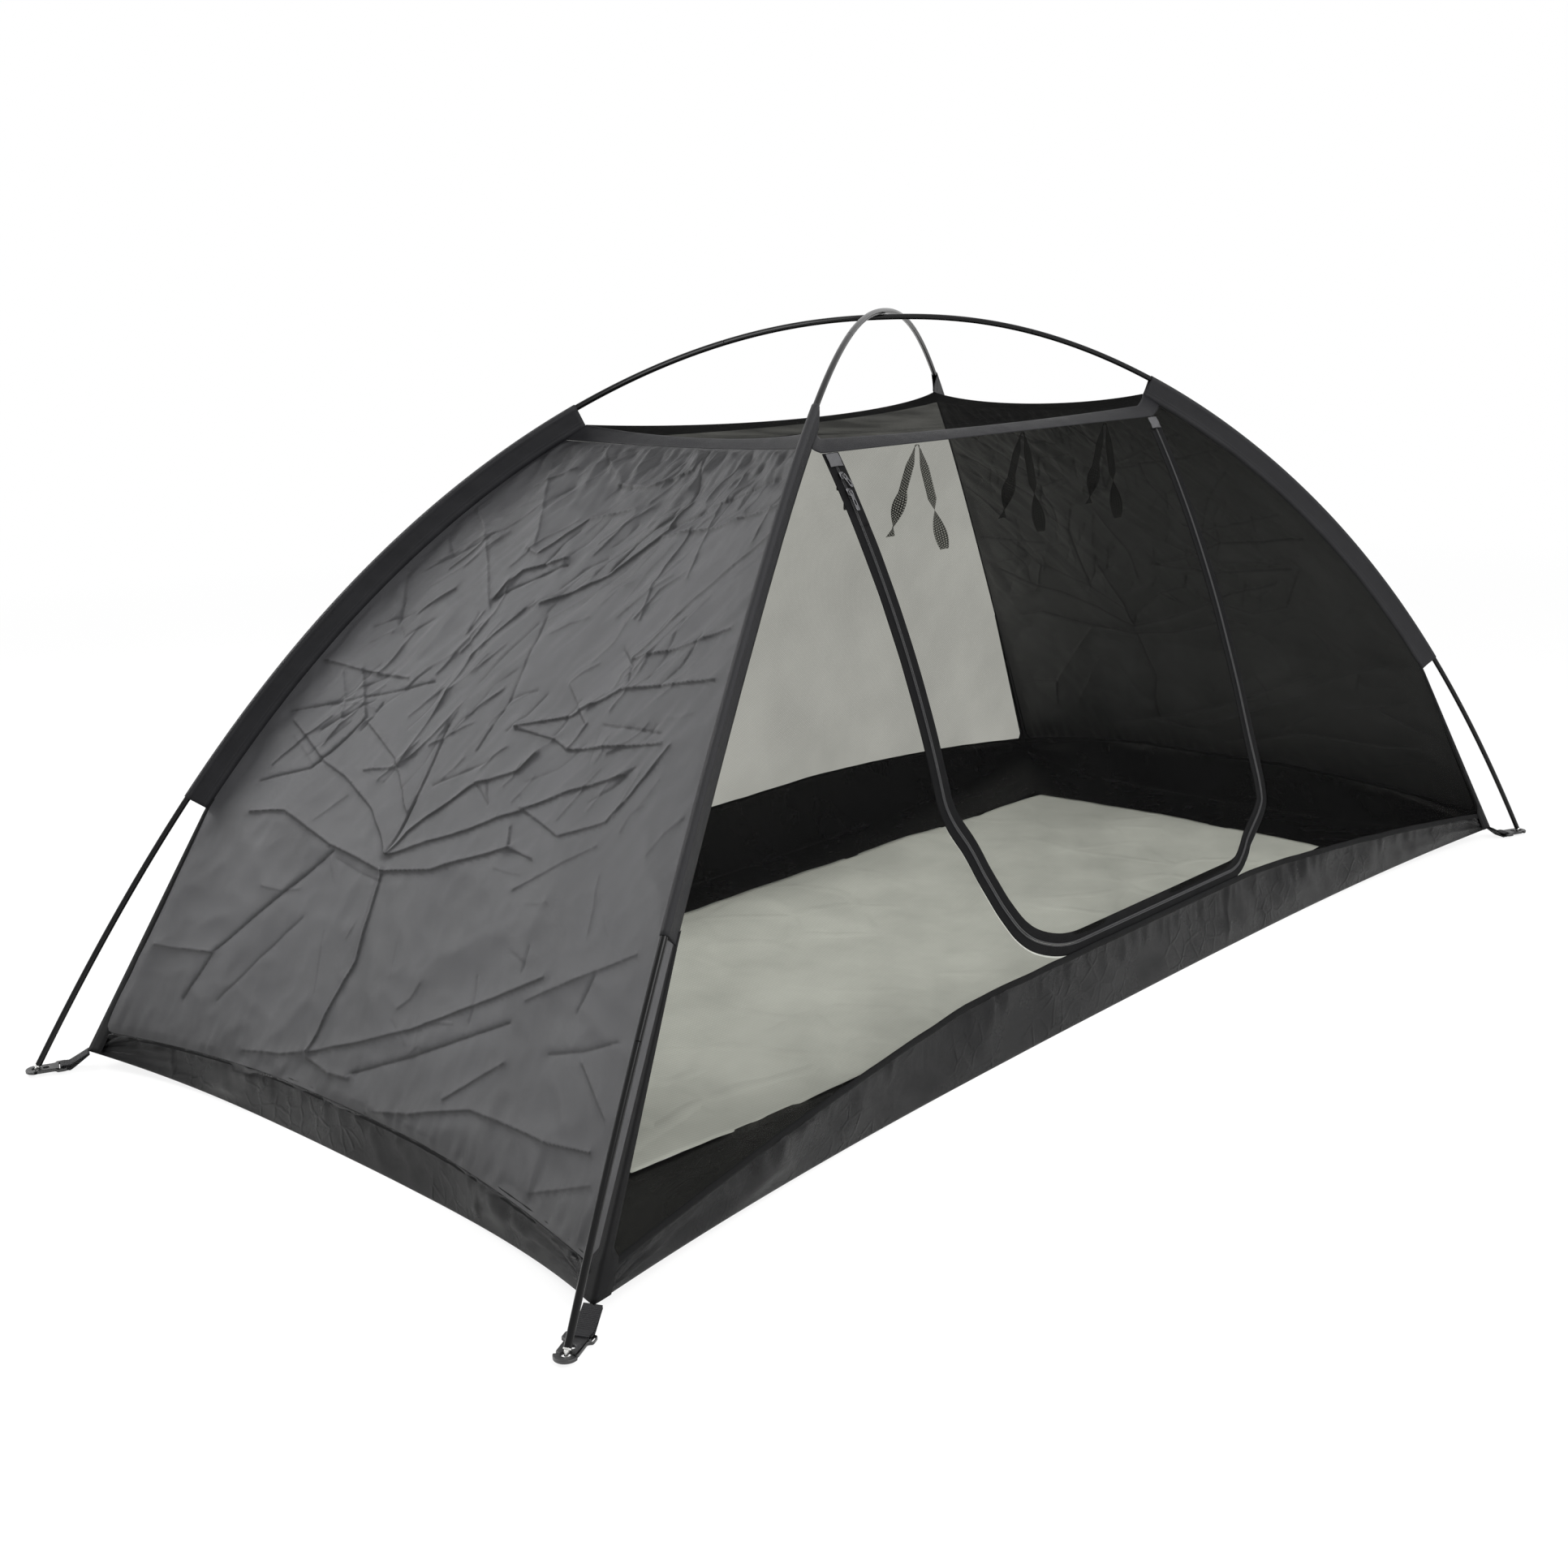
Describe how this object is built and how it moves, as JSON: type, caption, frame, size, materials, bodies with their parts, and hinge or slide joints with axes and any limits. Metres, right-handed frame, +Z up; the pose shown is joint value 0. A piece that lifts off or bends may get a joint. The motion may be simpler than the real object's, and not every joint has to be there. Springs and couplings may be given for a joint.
{
  "type": "mosquito net tent",
  "caption": "Free-standing net tent for a camp bed: crossed shock-corded poles in sleeves, net walls and roof, solid end walls, bathtub floor and a U-shaped zipped door.",
  "frame": {"origin": "on the ground under the crossing of the poles", "axes": "+Z up, +X along the long side, the zipped door faces -Y"},
  "size_m": [2.2178, 1.0588, 0.9227],
  "materials": {
    "pole": "gloss",
    "cord": "matte",
    "tip": "satin",
    "wall_fabric": "satin",
    "band_fabric": "satin",
    "net": "matte",
    "floor_fabric": "matte",
    "webbing": "matte",
    "zip_tape": "matte",
    "plate": "matte",
    "slider_metal": "satin"
  },
  "bodies": {
    "tent": {"pole_a_section_1": "pole", "pole_a_section_2": "pole", "pole_a_section_3": "pole", "pole_a_section_4": "pole", "pole_a_section_5": "pole", "pole_a_section_6": "pole", "pole_a_section_7": "pole", "shock_cord_a": "cord", "pole_b_section_1": "pole", "pole_b_section_2": "pole", "pole_b_section_3": "pole", "pole_b_section_4": "pole", "pole_b_section_5": "pole", "pole_b_section_6": "pole", "pole_b_section_7": "pole", "shock_cord_b": "cord", "pole_tip_front_left": "tip", "pole_tip_front_right": "tip", "pole_tip_rear_right": "tip", "pole_tip_rear_left": "tip", "end_wall_left": "wall_fabric", "end_wall_right": "wall_fabric", "roof_trim": "wall_fabric", "zip_garage_left": "wall_fabric", "zip_garage_right": "wall_fabric", "sleeve_front_left": "wall_fabric", "sleeve_front_right": "wall_fabric", "sleeve_rear_right": "wall_fabric", "sleeve_rear_left": "wall_fabric", "rear_net": "net", "front_net_left": "net", "front_net_right": "net", "roof_net": "net", "zip_tent_side": "zip_tape", "zip_door_head": "zip_tape", "band_front": "band_fabric", "band_right": "band_fabric", "band_rear": "band_fabric", "band_left": "band_fabric", "groundsheet": "floor_fabric", "anchor_plate_front_left": "plate", "webbing_front_left": "webbing", "anchor_plate_front_right": "plate", "webbing_front_right": "webbing", "anchor_plate_rear_right": "plate", "webbing_rear_right": "webbing", "anchor_plate_rear_left": "plate", "webbing_rear_left": "webbing"},
    "door": {"door_net": "net", "zip_door_side": "zip_tape"},
    "slider_upper": {"zip_slider_upper": "slider_metal"},
    "slider_lower": {"zip_slider_lower": "slider_metal"},
    "pull_upper_outer": {"zip_pull_upper_outer": "slider_metal"},
    "pull_upper_inner": {"zip_pull_upper_inner": "slider_metal"},
    "pull_lower_outer": {"zip_pull_lower_outer": "slider_metal"},
    "pull_lower_inner": {"zip_pull_lower_inner": "slider_metal"},
    "tie_1": {"tie_tape_1": "net"},
    "tie_2": {"tie_tape_2": "net"},
    "tie_3": {"tie_tape_3": "net"}
  },
  "joints": [
    {"name": "door_flap", "type": "hinge", "parent": "tent", "child": "door", "pos_m": [0, -0.1988, 0.756], "axis": [-1, 0, 0], "range_deg": [0, 75]},
    {"name": "slider_upper_slide", "type": "slide", "parent": "tent", "child": "slider_upper", "axis": [0, 0.5012, 0.8653], "range_m": [-0.005, 0.006]},
    {"name": "slider_lower_travel", "type": "hinge", "parent": "tent", "child": "slider_lower", "pos_m": [-0.346, 1.09085, -0.02907], "axis": [1, 0, 0], "range_deg": [0, 14.4]},
    {"name": "pull_upper_outer_pin", "type": "hinge", "parent": "slider_upper", "child": "pull_upper_outer", "pos_m": [-0.346, -0.21989, 0.73008], "axis": [-0.9135, -0.2038, -0.352], "range_deg": [0, 160]},
    {"name": "pull_upper_inner_pin", "type": "hinge", "parent": "slider_upper", "child": "pull_upper_inner", "pos_m": [-0.346, -0.21141, 0.72517], "axis": [1, 0, 0], "range_deg": [-25, 140]},
    {"name": "pull_lower_outer_pin", "type": "hinge", "parent": "slider_lower", "child": "pull_lower_outer", "pos_m": [-0.346, -0.23081, 0.7109], "axis": [-1, 0, 0], "range_deg": [0, 160]},
    {"name": "pull_lower_inner_pin", "type": "hinge", "parent": "slider_lower", "child": "pull_lower_inner", "pos_m": [-0.346, -0.22226, 0.70612], "axis": [1, 0, 0], "range_deg": [-25, 100]},
    {"name": "tie_1_swing", "type": "hinge", "parent": "tent", "child": "tie_1", "pos_m": [-0.175, -0.1968, 0.7535], "axis": [1, 0, 0], "range_deg": [-15, 70]},
    {"name": "tie_2_swing", "type": "hinge", "parent": "tent", "child": "tie_2", "pos_m": [0.055, -0.1968, 0.7535], "axis": [1, 0, 0], "range_deg": [-15, 70]},
    {"name": "tie_3_swing", "type": "hinge", "parent": "tent", "child": "tie_3", "pos_m": [0.258, -0.1968, 0.7535], "axis": [1, 0, 0], "range_deg": [-15, 70]}
  ]
}
